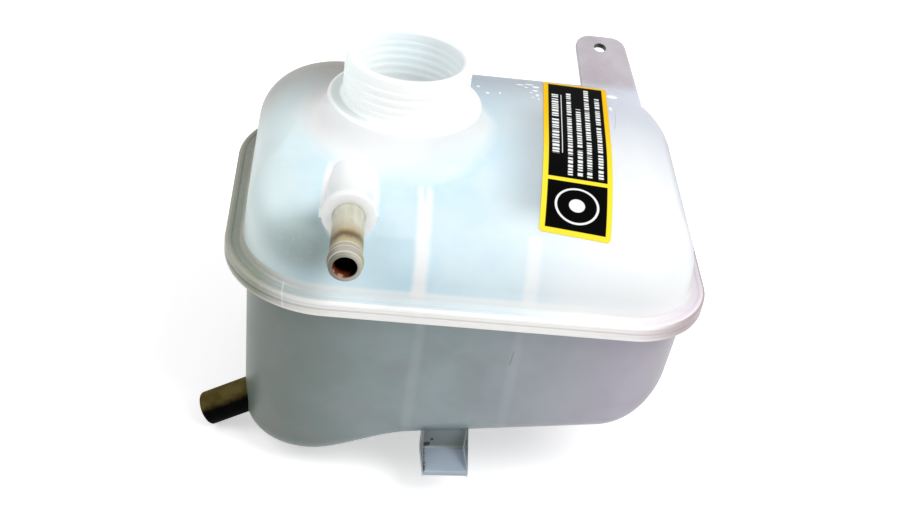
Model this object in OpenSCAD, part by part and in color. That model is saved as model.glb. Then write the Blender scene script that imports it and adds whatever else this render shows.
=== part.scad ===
// Coolant expansion tank: two moulded half shells welded at a flange, with a filler neck,
// a vent spigot, an outlet spigot, a mounting ear, a locating foot and a sticker.
// Lengths are in millimetres. The origin is on the filler neck's axis, at its rim.
// X points right, Y points to the back and Z points up.

/* [Flange and walls] */
// Length of the weld flange at its front edge
flange_length = 212; // [198:1:230]
// Depth of the weld flange, front to back
flange_depth = 162; // [150:1:185]
// How much further left the flange reaches at the back than at the front
flare_left = 2; // [0:0.5:8]
// How much further right the flange reaches at the back than at the front
flare_right = 4; // [0:0.5:10]
// Thickness of each half's flange
flange_thickness = 3.8; // [3:0.1:5]
// How far the flange stands out from the walls
flange_lip = 6.6; // [4.5:0.1:9]
// How far it stands out from the upper shell's left wall
flange_lip_left = 7.6; // [5:0.1:10]
// How much further in the lower shell's left wall stands
lower_step_left = 2.4; // [0:0.1:4]
// Radius of the flange's long edges, away from the weld
flange_edge = 1.2; // [0.6:0.1:1.4]
// Radius of the flange's long edges at the weld
weld_edge = 0.5; // [0.3:0.1:1.2]
// Corner radius of the flange at the front left
corner_front_left = 46; // [34:1:56]
// Corner radius of the flange at the front right
corner_front_right = 37; // [34:1:56]
// Corner radius of the flange at the back right
corner_back_right = 46; // [34:1:56]
// Corner radius of the flange at the back left
corner_back_left = 48; // [34:1:60]
// Thickness of the moulded walls
wall = 3; // [2.2:0.1:3.4]
// How far the walls lean in between the flange and their rounding
draft = 1.5; // [0:0.1:3]

/* [Upper shell] */
// Height of the flat top over the weld
top_height = 46; // [42:0.5:60]
// How far back the sloping front runs before it meets the flat top
front_slope_run = 74; // [50:1:84]
// How far down the sloping front starts below the flat top
front_slope_drop = 36; // [24:1:36]
// Radius of the shoulder along the back
back_shoulder = 25; // [12:1:32]
// Radius of the shoulder along the left side
left_shoulder = 24; // [12:1:36]
// Radius of the shoulder along the right side
right_shoulder = 33; // [12:1:36]

/* [Lower shell] */
// Depth of the floor below the weld, on the line through the middle of the flange
floor_depth = 75; // [60:1:90]
// Rise of the floor towards the right, in millimetres for each millimetre
floor_slope = 0.15; // [0:0.01:0.2]
// How far the sump drops below the sloping floor
sump_drop = 8; // [0:0.5:14]
// Distance from the middle of the flange to the edge of the sump
sump_edge = 60; // [50:1:66]
// Length of the slope out of the sump
sump_run = 42; // [30:1:56]
// Radius of the floor's edge along the front and back
floor_edge = 11; // [8:0.5:18]
// Radius of the floor's edge along the left side
floor_edge_left = 12; // [8:0.5:24]
// Radius of the floor's edge along the right side
floor_edge_right = 26; // [12:0.5:30]

/* [Baffles] */
// Thickness of the ribs that divide the tank
baffle_thickness = 2.5; // [1.6:0.1:4]
// Distance of the left rib from the middle of the flange
baffle_left = 21; // [12:0.5:26]
// Distance of the right rib from the middle of the flange
baffle_right = 24; // [16:0.5:30]
// Radius of the flow hole in each half of a rib
flow_hole = 11; // [6:0.5:14]

/* [Filler neck] */
// Distance of the neck to the left of the middle of the flange
neck_left = 33.3; // [28:0.1:38]
// Distance of the neck to the front of the middle of the flange
neck_front = 0.9; // [-6:0.1:6]
// Radius of the neck's bore
neck_bore = 23.5; // [20:0.1:24.5]
// Thickness of the neck's wall
neck_wall = 3.6; // [3:0.1:5]
// Height of the neck's rim above the flat top
neck_height = 33.3; // [26:0.1:40]
// Radius of the round plinth that the neck stands on
plinth_radius = 34; // [32:0.5:37]
// Height of the plinth above the flat top
plinth_height = 13; // [8:0.5:16]
// How far the plinth's foot flares out into the top
plinth_flare = 11; // [5:0.5:12]

/* [Vent spigot] */
// Distance of the vent spigot to the left of the middle of the flange
vent_left = 53.5; // [48:0.5:60]
// Depth of its axis below the flat top
vent_drop = 10; // [9:0.5:14]
// Distance from the front wall back to the face of its boss
vent_setback = 9; // [6:0.5:14]
// Radius of the boss
vent_boss = 9.6; // [9:0.1:11]
// How far the collar stands out from the boss
vent_collar = 1.6; // [1:0.1:2.5]
// Length of the collar
vent_collar_length = 4; // [2:0.5:6]
// Length of the boss, from its face to the end of its rounded back
vent_boss_length = 36; // [32:1:40]
// Outer radius of the vent tube
vent_radius = 6.6; // [5.5:0.1:7.2]
// Bore radius of the vent tube
vent_bore = 4.7; // [3.5:0.1:5.1]
// Length of the vent tube outside its boss
vent_length = 35; // [28:0.5:42]
// Height of the hose bead on the vent tube
vent_bead = 0.6; // [0.3:0.1:1]
// Width of the hose bead
vent_bead_width = 4; // [3:0.2:8]

/* [Outlet spigot] */
// Distance of the outlet spigot to the front of the middle of the flange
outlet_front = 42; // [30:0.5:46]
// Height of the outlet, where it leaves the wall, above the sump floor
outlet_rise = 7; // [6:0.5:20]
// Angle that the outlet points down by
outlet_angle = 31; // [20:1:45]
// Outer radius of the outlet tube
outlet_radius = 8; // [6.5:0.1:8.5]
// Bore radius of the outlet tube
outlet_bore = 6.2; // [4.5:0.1:6.4]
// Length of the outlet tube outside the wall
outlet_length = 20.5; // [14:0.5:30]
// Distance outside the wall where the tube steps up from its seat's radius to the full one
outlet_shoulder = 3; // [2:0.5:5]
// Height of that step
outlet_step = 0.3; // [0.1:0.1:0.6]
// Radius of the sleeve inside the wall that holds the outlet tube
outlet_sleeve = 10.4; // [10:0.1:12]

/* [Mounting ear and foot] */
// Distance of the ear's hole to the right of the middle of the flange
ear_right = 69; // [60:0.5:72]
// Distance of the ear's hole behind the back wall, along the ear
ear_reach = 26; // [20:0.5:36]
// Angle that the ear rises by
ear_angle = 17; // [5:0.5:25]
// Depth of the ear's underside below the flat top, at the back wall
ear_drop = 10; // [8:0.5:16]
// Width of the ear at its tip
ear_width = 25.5; // [22:0.5:32]
// Extra width of the ear at its root, on the right
ear_flare = 6; // [0:0.5:10]
// Thickness of the ear
ear_thickness = 3; // [2:0.1:5]
// Radius of the ear's hole
ear_hole = 3.3; // [2.5:0.1:5]
// Radius of the ear's outer corners
ear_corner = 8; // [5:0.5:10]
// Distance from the ear's hole to its tip
ear_tip = 8.8; // [6.2:0.2:14]
// Distance of the foot's middle to the left of the middle of the flange
foot_left = 1.6; // [-6:0.1:6]
// Width of the foot
foot_width = 20.4; // [14:0.2:26]
// Thickness of the foot
foot_thickness = 3; // [2:0.1:4]
// Depth of the foot's underside below the floor
foot_drop = 10; // [8:0.5:20]
// Distance from the front wall back to the foot's upright
foot_setback = 4.4; // [3.4:0.1:6]
// Length of the foot's toe, forward of its upright
foot_toe = 16; // [10:0.5:26]
// Turn of the foot, seen from above
foot_turn = 4; // [0:0.5:12]

/* [Sticker] */
// Distance of the sticker's middle to the right of the middle of the flange
sticker_right = 45.6; // [42:0.1:48]
// Distance from the middle of the flange to the sticker's back end
sticker_back = 53; // [48:0.5:63]
// Distance from the middle of the flange to the sticker's front end
sticker_front = 58.5; // [46:0.5:62]
// Width of the sticker
sticker_width = 30.6; // [22:0.2:33]
// Turn of the sticker, seen from above
sticker_turn = 5; // [0:0.5:8]
// Thickness of the sticker
sticker_thickness = 0.3; // [0.2:0.05:0.6]

/* [Hidden] */
$fn = 96;

// Steps in each corner arc and in each shoulder
corner_steps = 9;
shoulder_steps = 9;
// Extra points along the front and back edges of the lower shell
edge_points = 14;
// Smallest corner radius high on the shoulders
least_corner = 12;
// Radius of the moulding fillet between flange and wall
root_fillet = 1.5;
// Play between a hose tube and its socket
socket_play = 0.1;
// Thickness of the step that a hose tube's inner end rests on
socket_end = 3;
// How far a tube's bore runs on behind its seat, to open into the tank
bore_run = 16;
// Chamfer at the tip of a hose tube
tip_chamfer = 1.2;
// Least distance of a rib's flow hole from the wall above or below it
flow_gap = 3;
// Corners of the plinth's outline
plinth_steps = 48;
// Depth of the plinth's foot below the smooth form of the top
plinth_sink = 0.5;
// Cuts run this far past the faces they open
past = 1;

corner_radii = [corner_front_left, corner_front_right, corner_back_right, corner_back_left];
wall_front = -flange_depth / 2 + flange_lip;
wall_back = flange_depth / 2 - flange_lip;

// Insets from the flange's edge are lists: front, right, back, left
shoulder_run = [front_slope_run, right_shoulder, back_shoulder, left_shoulder];
shoulder_drop = [front_slope_drop, right_shoulder, back_shoulder, left_shoulder];
edge_run = [floor_edge, floor_edge_right, floor_edge, floor_edge_left];
edge_drop = [floor_edge, floor_edge_right, floor_edge, floor_edge_left];

function all_sides(value) = [value, value, value, value];
upper_lip = [flange_lip, flange_lip, flange_lip, flange_lip_left];
lower_lip = upper_lip + [0, 0, 0, lower_step_left];
function square_of(value) = value * value;
function smooth(t) = t <= 0 ? 0 : t >= 1 ? 1 : t * t * (3 - 2 * t);

// Share of each side's value that holds in a direction of the outline
function by_side(values, angle) =
    values[0] * square_of(min(0, sin(angle))) + values[1] * square_of(max(0, cos(angle)))
    + values[2] * square_of(max(0, sin(angle))) + values[3] * square_of(min(0, cos(angle)));

// Points of one outline with its direction angle, from the front left corner anticlockwise:
// each is [x, y, angle]. The insets pull in each side, and the corners shrink with them.
function outline(insets, extra = 0) =
    let (
        left_front = -flange_length / 2 + insets[3],
        left_back = left_front - flare_left,
        right_front = flange_length / 2 - insets[1],
        right_back = right_front + flare_right,
        front = -flange_depth / 2 + insets[0],
        back = flange_depth / 2 - insets[2],
        pulls = [insets[0] + insets[3], insets[0] + insets[1], insets[2] + insets[1], insets[2] + insets[3]],
        radii = [for (i = [0:3]) max(corner_radii[i] - pulls[i] / 2, least_corner)],
        centres = [
            [left_front + radii[0], front + radii[0]],
            [right_front - radii[1], front + radii[1]],
            [right_back - radii[2], back - radii[2]],
            [left_back + radii[3], back - radii[3]]
        ],
        corner = function (i) [
            for (s = [0:corner_steps])
                let (angle = 180 + 90 * i + 90 * s / corner_steps)
                    [centres[i][0] + radii[i] * cos(angle), centres[i][1] + radii[i] * sin(angle), angle]
        ],
        edge = function (i, y, angle) [
            for (s = [1:1:extra])
                let (t = s / (extra + 1))
                    [centres[i][0] * (1 - t) + centres[i + 1][0] * t, y, angle]
        ]
    )
    concat(corner(0), edge(0, front, 270), corner(1), corner(2), edge(2, back, 90), corner(3));

// Floor height of the lower shell at a distance right of the flange's middle
function floor_at(x) =
    -floor_depth + floor_slope * x - sump_drop * (1 - smooth((x + sump_edge) / sump_run));

// Solid between a stack of outlines with like numbers of points, each flat or warped
module loft(rings, upward) {
    count = len(rings[0]);
    half = count / 2;
    last = (len(rings) - 1) * count;
    sides = [
        for (k = [0:len(rings) - 2], i = [0:count - 1], part = [0:1])
            let (a = k * count + i, b = k * count + (i + 1) % count)
                part == 0 ? [a, b + count, b] : [a, a + count, b + count]
    ];
    first_cap = [
        for (i = [0:half - 2], part = [0:1])
            part == 0 ? [i, i + 1, count - 2 - i] : [i, count - 2 - i, count - 1 - i]
    ];
    last_cap = [for (face = first_cap) [last + face[2], last + face[1], last + face[0]]];
    faces = concat(sides, first_cap, last_cap);
    points = [for (ring = rings, p = ring) [p[0], p[1], p[2]]];
    polyhedron(points, upward ? faces : [for (f = faces) [f[2], f[1], f[0]]]);
}

// One outline at a single height
function flat_ring(insets, z, extra = 0) =
    [for (p = outline(insets, extra)) [p[0], p[1], z]];

// Rings of a flange with rounded edges, from the weld face outwards; side is 1 above and -1 below
function flange_rings(side, extra = 0) =
    let (
        lip = side > 0 ? upper_lip : lower_lip,
        e = flange_edge,
        w = weld_edge,
        t = flange_thickness,
        edge = [
            [0, w], [0.3 * w, 0.3 * w], [w, 0],
            [t - e, 0], [t - 0.3 * e, 0.3 * e], [t, e]
        ],
        f = root_fillet,
        root = [[t, -f], [t + 0.3 * f, -0.3 * f], [t + f, 0]]
    )
    concat(
        [for (p = edge) flat_ring(all_sides(p[1]), side * p[0], extra)],
        [for (p = root) flat_ring(lip + all_sides(p[1]), side * p[0], extra)]
    );

// Rings of the rounded top, inset from the outer skin by a depth
function top_rings(depth) = [
    for (k = [0:shoulder_steps])
        let (
            angle = 90 * k / shoulder_steps,
            insets = [for (i = [0:3]) upper_lip[i] + draft + depth + (shoulder_run[i] - depth) * (1 - cos(angle))]
        )
            [for (p = outline(insets))
                [p[0], p[1], top_height - depth - (by_side(shoulder_drop, p[2]) - depth) * (1 - sin(angle))]]
];

// Rings of the rounded floor, inset from the outer skin by a depth
function floor_rings(depth) = [
    for (k = [0:shoulder_steps])
        let (
            angle = 90 * k / shoulder_steps,
            insets = [for (i = [0:3]) lower_lip[i] + draft + depth + (edge_run[i] - depth) * (1 - cos(angle))]
        )
            [for (p = outline(insets, edge_points))
                [p[0], p[1], floor_at(p[0]) + depth + (by_side(edge_drop, p[2]) - depth) * (1 - sin(angle))]]
];

module upper_skin(grow = 0) {
    loft(concat(flange_rings(1), top_rings(-grow)), true);
}

module upper_cavity() {
    inner = upper_lip + all_sides(wall);
    loft(concat([flat_ring(inner, -past), flat_ring(inner, flange_thickness)], top_rings(wall)), true);
}

module lower_skin() {
    loft(concat(flange_rings(-1, edge_points), floor_rings(0)), false);
}

module lower_cavity() {
    inner = lower_lip + all_sides(wall);
    mouth = [flat_ring(inner, past, edge_points), flat_ring(inner, -flange_thickness, edge_points)];
    loft(concat(mouth, floor_rings(wall)), false);
}

// Rib across the tank, with the middle of its flow hole at a height
module baffle(x, hole_height) {
    translate([x, 0, 0])
        rotate([0, 90, 0])
            linear_extrude(baffle_thickness, center = true)
                difference() {
                    square([4 * top_height + 2 * floor_depth, 2 * flange_depth], center = true);
                    translate([-hole_height, 0])
                        circle(flow_hole);
                }
}

module upper_baffles() {
    for (x = [-baffle_left, baffle_right])
        baffle(x, top_height - wall - flow_gap - flow_hole);
}

module lower_baffles() {
    for (x = [-baffle_left, baffle_right])
        baffle(x, floor_at(x) + wall + flow_gap + flow_hole);
}

// Filler neck
neck_at = [-neck_left, -neck_front, 0];
rim_height = top_height + neck_height;
neck_radius = neck_bore + neck_wall;
// The ribs are cut clear under the neck's bore down to this depth below the flat top
rib_clear_depth = 22;

module at_neck() {
    translate(neck_at)
        children();
}

// Height of the smooth top over the weld, where its front and left sides round down
function top_at(x, y) =
    let (
        in_front = 1 - min(1, (y - wall_front - draft) / front_slope_run),
        in_left = 1 - min(1, (x + flange_length / 2 - flange_lip_left - draft) / left_shoulder)
    )
    top_height - front_slope_drop * (1 - sqrt(1 - in_front * in_front))
    - left_shoulder * (1 - sqrt(1 - in_left * in_left));

// Outline of the plinth; the share is 0 down on the top and 1 at the height of the upper edge
function plinth_ring(radius, share, height) = [
    for (s = [0:plinth_steps - 1])
        let (
            angle = 180 + 360 * (s + 0.5) / plinth_steps,
            x = -neck_left + radius * cos(angle),
            y = -neck_front + radius * sin(angle),
            ground = top_at(x, y) - plinth_sink
        )
            [x, y, ground + share * (height - ground)]
];

// Round plinth whose foot flares out and follows the sloping top
module plinth() {
    top = top_height + plinth_height;
    edge = 1;
    flare = [for (a = [0:15:90]) [plinth_radius + plinth_flare * (1 - sin(a)), 1 - cos(a)]];
    loft(concat(
        [for (p = flare) plinth_ring(p[0], p[1], top - edge)],
        [plinth_ring(plinth_radius - 0.3 * edge, 1, top - 0.3 * edge), plinth_ring(plinth_radius - edge, 1, top)]
    ), true);
}

module neck_outside() {
    edge = 1;
    at_neck()
        rotate_extrude()
            polygon([
                [0, top_height], [neck_radius, top_height], [neck_radius, rim_height - edge],
                [neck_radius - 0.3 * edge, rim_height - 0.3 * edge], [neck_radius - edge, rim_height],
                [0, rim_height]
            ]);
}

module neck_hole() {
    at_neck()
        translate([0, 0, top_height - rib_clear_depth])
            cylinder(r = neck_bore, h = neck_height + rib_clear_depth + past);
}

// Holes for a hose tube along its axis: a seat that opens outwards, and its bore behind it
module socket(radius, bore, seat, opening) {
    translate([0, 0, -seat])
        cylinder(r = radius + socket_play, h = seat + opening);
    translate([0, 0, -seat - bore_run])
        cylinder(r = bore, h = seat + bore_run);
}

// Vent spigot and its boss, both on an axis that points to the front
vent_face = wall_front + vent_setback;
vent_seat = 12;

module at_vent() {
    translate([-vent_left, vent_face, top_height - vent_drop])
        rotate([90, 0, 0])
            children();
}

// The boss has a collar at its face, with a small lug on each side, and a rounded back
module vent_boss_outside() {
    collar = vent_boss + vent_collar;
    bevel = vent_collar / 2;
    round_back = vent_boss * 0.7;
    lug = [4, 3, vent_collar_length - 0.5];
    at_vent() {
        rotate_extrude()
            polygon(concat(
                [[0, 0], [collar - bevel, 0], [collar, -bevel]],
                [[collar, -vent_collar_length], [vent_boss, -vent_collar_length - bevel]],
                [for (a = [0:10:90])
                    [vent_boss * cos(a), -vent_boss_length + round_back * (1 - sin(a))]]
            ));
        for (side = [-1, 1])
            translate([side * (collar - 1) - lug[0] / 2, -lug[1] / 2, -vent_collar_length])
                cube(lug);
    }
}

module vent_sleeve() {
    at_vent()
        translate([0, 0, -vent_seat - socket_end])
            cylinder(r = vent_boss, h = vent_seat + socket_end);
}

module vent_holes() {
    at_vent()
        socket(vent_radius, vent_bore, vent_seat, past);
}

// Outlet spigot, on an axis that points left and down, held by a sleeve inside the wall
outlet_seat = 8;
outlet_seat_radius = outlet_radius - outlet_step;
outlet_wall_x = -flange_length / 2 + lower_lip[3] + draft;

module at_outlet() {
    translate([outlet_wall_x, -outlet_front, floor_at(-sump_edge) + outlet_rise])
        rotate([0, -90 - outlet_angle, 0])
            children();
}

module outlet_sleeve_inside() {
    at_outlet()
        translate([0, 0, -outlet_seat - socket_end])
            cylinder(r = outlet_sleeve, h = outlet_seat + socket_end + wall);
}

module outlet_holes() {
    at_outlet()
        socket(outlet_seat_radius, outlet_bore, outlet_seat, 2 * outlet_radius);
}

// Mounting ear: a flat tongue that rises to the back, drawn in its own plane
module at_ear() {
    translate([ear_right, wall_back, top_height - ear_drop])
        rotate([ear_angle, 0, 0])
            children();
}

module ear_plate() {
    inset = ear_width / 2 - ear_corner;
    root = -back_shoulder / 2;
    taper = 2;
    at_ear()
        linear_extrude(ear_thickness)
            hull() {
                for (side = [-1, 1])
                    translate([side * inset, ear_reach + ear_tip - ear_corner])
                        circle(ear_corner, $fn = 48);
                translate([-ear_width / 2 + taper, root])
                    square([ear_width - taper + ear_flare, 1]);
            }
}

module ear_bore() {
    at_ear()
        translate([0, ear_reach, -past])
            cylinder(r = ear_hole, h = ear_thickness + 2 * past);
}

// Foot: an upright strip under the front wall, bent forward into a toe
foot_top = floor_at(-foot_left) + floor_edge;
foot_under = floor_at(-foot_left) - foot_drop;

module foot() {
    inner_bend = 1.5;
    outer_bend = foot_thickness + inner_bend;
    front = foot_thickness;
    translate([-foot_left, wall_front + foot_setback + foot_thickness, 0])
        rotate([90, 0, foot_turn - 90])
            linear_extrude(foot_width, center = true)
                polygon(concat(
                    [[front + foot_toe, foot_under], [front + foot_toe, foot_under + foot_thickness]],
                    [for (a = [0:15:90])
                        [front, foot_under + foot_thickness] + inner_bend * [1 - sin(a), 1 - cos(a)]],
                    [[front, foot_top], [0, foot_top]],
                    [for (a = [90:-15:0]) [0, foot_under] + outer_bend * [1 - sin(a), 1 - cos(a)]]
                ));
}

// Every piece is drawn from the middle of the flange, at the weld, and moved to the neck's rim
module placed() {
    translate([neck_left, neck_front, -rim_height])
        children();
}

module upper_shell() {
    color([0.86, 0.94, 0.95])
        placed()
            difference() {
                union() {
                    upper_skin();
                    plinth();
                    neck_outside();
                    vent_boss_outside();
                    ear_plate();
                }
                difference() {
                    upper_cavity();
                    upper_baffles();
                    vent_sleeve();
                }
                neck_hole();
                vent_holes();
                ear_bore();
            }
}

module lower_shell() {
    color([0.78, 0.86, 0.88])
        placed()
            difference() {
                union() {
                    lower_skin();
                    foot();
                }
                difference() {
                    lower_cavity();
                    lower_baffles();
                    outlet_sleeve_inside();
                }
                outlet_holes();
            }
}

// Hose tube along its own axis, from its seat to a chamfered tip
module hose_tube(radius, bore, seat, length) {
    lead = tip_chamfer / 4;
    rotate_extrude()
        polygon([
            [bore, -seat], [radius, -seat], [radius, length - tip_chamfer],
            [radius - tip_chamfer / 2, length], [bore + lead, length], [bore, length - lead]
        ]);
}

// Raised ring that keeps a hose on its tube
module hose_bead(radius, height, width) {
    rotate_extrude()
        polygon([
            [radius - 1, 0], [radius, 0], [radius + height, height],
            [radius + height, width - height], [radius, width], [radius - 1, width]
        ]);
}

module vent_spigot() {
    color([0.68, 0.64, 0.52])
        placed()
            at_vent() {
                hose_tube(vent_radius, vent_bore, vent_seat, vent_length);
                translate([0, 0, vent_length - vent_bead_width - 2 * tip_chamfer])
                    hose_bead(vent_radius, vent_bead, vent_bead_width);
            }
}

module outlet_spigot() {
    color([0.42, 0.4, 0.28])
        placed()
            at_outlet() {
                hose_tube(outlet_seat_radius, outlet_bore, outlet_seat, outlet_shoulder + past);
                hose_tube(outlet_radius, outlet_bore, -outlet_shoulder, outlet_length);
            }
}

// Sticker: the layer over the upper skin that lies inside its slightly turned oblong
module sticker_column() {
    length = sticker_back + sticker_front;
    translate([sticker_right, (sticker_back - sticker_front) / 2, 0])
        rotate([0, 0, -sticker_turn])
            translate([-sticker_width / 2, -length / 2, top_height / 2])
                cube([sticker_width, length, top_height]);
}

module sticker() {
    color([0.08, 0.08, 0.08])
        placed()
            difference() {
                intersection() {
                    upper_skin(sticker_thickness);
                    sticker_column();
                }
                upper_skin();
            }
}

upper_shell();
lower_shell();
vent_spigot();
outlet_spigot();
sticker();
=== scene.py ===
# Looks of the coolant expansion tank: two smooth moulded shells with their inner ribs, the
# threaded filler neck, two stained hose tubes and the sticker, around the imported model.
# Shapes are in millimetres from the middle of the weld flange, and finishes in millimetres from
# the frame's origin.
import math

import bpy
import numpy as np
from mathutils import Matrix, Vector


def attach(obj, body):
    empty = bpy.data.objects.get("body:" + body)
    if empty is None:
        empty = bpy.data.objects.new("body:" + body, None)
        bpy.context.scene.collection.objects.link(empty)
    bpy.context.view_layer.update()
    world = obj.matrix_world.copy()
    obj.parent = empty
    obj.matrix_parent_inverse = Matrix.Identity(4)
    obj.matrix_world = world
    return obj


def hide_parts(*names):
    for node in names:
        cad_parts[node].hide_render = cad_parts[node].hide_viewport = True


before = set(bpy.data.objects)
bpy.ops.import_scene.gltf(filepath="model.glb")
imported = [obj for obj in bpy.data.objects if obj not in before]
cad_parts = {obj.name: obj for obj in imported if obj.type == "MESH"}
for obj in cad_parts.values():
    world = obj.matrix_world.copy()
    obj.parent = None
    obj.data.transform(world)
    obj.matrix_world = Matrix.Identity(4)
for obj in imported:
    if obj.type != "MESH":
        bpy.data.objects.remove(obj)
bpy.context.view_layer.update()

# The flange's middle, seen from the neck's rim, which is the frame's origin
TANK_AT = np.array([33.3, 0.9, -79.3])

# Sizes of the shells, as in the part's source. Lists of four run front, right, back, left.
FLANGE_LENGTH, FLANGE_DEPTH, FLANGE_THICK, FLANGE_EDGE = 212.0, 162.0, 3.8, 1.2
FLARE_LEFT, FLARE_RIGHT = 2.0, 4.0
CORNERS = np.array([46.0, 37.0, 46.0, 48.0])
LEAST_CORNER, WALL, DRAFT, FILLET, WELD_EDGE = 12.0, 3.0, 1.5, 1.5, 0.5
UPPER_LIP = np.array([6.6, 6.6, 6.6, 7.6])
LOWER_LIP = np.array([6.6, 6.6, 6.6, 10.0])
TOP = 46.0
SHOULDER_RUN = np.array([74.0, 33.0, 25.0, 24.0])
SHOULDER_DROP = np.array([36.0, 33.0, 25.0, 24.0])
FLOOR_EDGE = np.array([11.0, 26.0, 11.0, 12.0])
FLOOR, FLOOR_SLOPE, SUMP_DROP, SUMP_EDGE, SUMP_RUN = 75.0, 0.15, 8.0, 60.0, 42.0
RIBS, RIB_THICK, FLOW_HOLE = (-21.0, 24.0), 2.5, 11.0
NECK_AT, NECK_BORE, NECK_OUT, NECK_HEIGHT = (-33.3, -0.9), 23.5, 27.1, 33.3
PLINTH, PLINTH_HEIGHT, PLINTH_FLARE = 34.0, 13.0, 11.0
THREAD_PITCH, THREAD_HEIGHT = 3.7, 0.45
VENT_AT, VENT_BOSS, VENT_TUBE, VENT_BORE = (-53.5, -65.4, 36.0), 9.6, 6.6, 4.7
VENT_SEAT, VENT_LENGTH = 12.0, 35.0
OUTLET_AT, OUTLET_ANGLE, OUTLET_TUBE, OUTLET_BORE = (-94.5, -42.0, -85.0), 31.0, 8.0, 6.2
OUTLET_SEAT, OUTLET_LENGTH = 8.0, 20.1
EAR_AT, EAR_ANGLE, EAR_REACH, EAR_WIDTH, EAR_HOLE = (69.0, 74.4, 36.0), 17.0, 26.0, 25.5, 3.3
FOOT_AT, FOOT_WIDTH, FOOT_THICK, FOOT_TOE, FOOT_TURN = (-1.6, -70.0), 20.4, 3.0, 19.0, -86.0
STICKER_AT, STICKER_TURN, STICKER_SIZE = (45.6, -2.75), 5.0, (30.6, 111.5)
STICKER_CORNER, FILM = 1.5, 0.3

# Details that only the looks have
VENT_COLLAR, BOSS_REACH, VENT_BEAD = VENT_BOSS + 1.6, 36.0, 0.6
BORE_THREAD_HEIGHT = 0.12

# The photograph's view, in metres and degrees: the place, then yaw, pitch and roll
CAMERA_AT, CAMERA_TURN = (-0.02322, -0.46872, 0.22536), (-6.46, 34.7, 8.68)

# A radius so large that it leaves an axis out of a distance
ANY = 1e6
# The vent tube's axis in the frame, and the white of the brightest plastic
VENT_AXIS = (VENT_AT[0] + TANK_AT[0], 0, VENT_AT[2] + TANK_AT[2])
WHITE = (0.985, 0.99, 0.99)


def quarter(steps):
    """Angles from 0 to 90 degrees."""
    return np.radians(np.linspace(0, 90, steps))


def curve(across, up):
    """Points of a profile, from their two coordinates."""
    return np.stack([across, up], 1).tolist()


def smooth(t):
    """Cubic step: 3 t squared less 2 t cubed, held between 0 and 1."""
    t = np.clip(t, 0, 1)
    return t * t * (3 - 2 * t)


def floor_at(x):
    """Floor height: a plane that rises to the right, less a smooth drop into the sump."""
    return -FLOOR + FLOOR_SLOPE * x - SUMP_DROP * (1 - smooth((x + SUMP_EDGE) / SUMP_RUN))


def outlines(insets, arc=26, edge=40):
    """Rounded oblongs, one for each row of four insets: four arcs of the corner radii, less
    half of the insets beside them, joined by straight edges with evenly spaced points.
    Returns x, y and the outward direction, each with one row for each oblong."""
    front, right, back, left = np.atleast_2d(insets).astype(float).T
    pulls = np.stack([front + left, front + right, back + right, back + left], 1)
    radii = np.maximum(CORNERS - pulls / 2, LEAST_CORNER)
    x_left, x_right = -FLANGE_LENGTH / 2 + left, FLANGE_LENGTH / 2 - right
    y_front, y_back = -FLANGE_DEPTH / 2 + front, FLANGE_DEPTH / 2 - back
    middle_x = np.stack([x_left + radii[:, 0], x_right - radii[:, 1],
                         x_right + FLARE_RIGHT - radii[:, 2], x_left - FLARE_LEFT + radii[:, 3]], 1)
    middle_y = np.stack([y_front + radii[:, 0], y_front + radii[:, 1],
                         y_back - radii[:, 2], y_back - radii[:, 3]], 1)
    xs, ys, turns = [], [], []
    for i in range(4):
        turn = np.radians(180 + 90 * i + 90 * np.linspace(0, 1, arc))[None, :]
        xs.append(middle_x[:, i:i + 1] + radii[:, i:i + 1] * np.cos(turn))
        ys.append(middle_y[:, i:i + 1] + radii[:, i:i + 1] * np.sin(turn))
        turns.append(np.repeat(turn, len(radii), 0))
        if i in (0, 2):
            t = np.linspace(0, 1, edge + 2)[None, 1:-1]
            xs.append(xs[-1][:, -1:] * (1 - t) + middle_x[:, i + 1:i + 2] * t)
            ys.append(np.repeat(ys[-1][:, -1:], edge, 1))
            turns.append(np.repeat(turns[-1][:, -1:], edge, 1))
    return np.concatenate(xs, 1), np.concatenate(ys, 1), np.concatenate(turns, 1)


def by_side(values, turn):
    """Each side's value times the square of how far the direction points to that side."""
    front, right, back, left = values
    return (front * np.minimum(0, np.sin(turn)) ** 2 + right * np.maximum(0, np.cos(turn)) ** 2
            + back * np.maximum(0, np.sin(turn)) ** 2 + left * np.minimum(0, np.cos(turn)) ** 2)


def rounding(lip, run, drop, level, depth, steps=36):
    """Quarter ellipses from the walls to the top or floor: the insets grow by the run times one
    less the cosine, and the height nears the level by the drop times one less the sine."""
    angle = quarter(steps)[:, None]
    insets = lip + DRAFT + depth + (run - depth) * (1 - np.cos(angle))
    x, y, turn = outlines(insets)
    return np.stack([x, y, level(x, (by_side(drop, turn) - depth) * (1 - np.sin(angle)))], 2)


def top_rings(depth):
    """The top's rounding, at a depth under the skin."""
    return rounding(UPPER_LIP, SHOULDER_RUN, SHOULDER_DROP, lambda x, fall: TOP - depth - fall, depth)


def floor_rings(depth):
    """The floor's rounding, at a depth inside the skin."""
    return rounding(LOWER_LIP, FLOOR_EDGE, FLOOR_EDGE, lambda x, fall: floor_at(x) + depth + fall, depth)


def flat_rings(insets, heights):
    """Outlines at single heights."""
    x, y, _ = outlines(insets)
    return np.stack([x, y, np.repeat(np.array(heights, float)[:, None], x.shape[1], 1)], 2)


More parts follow.
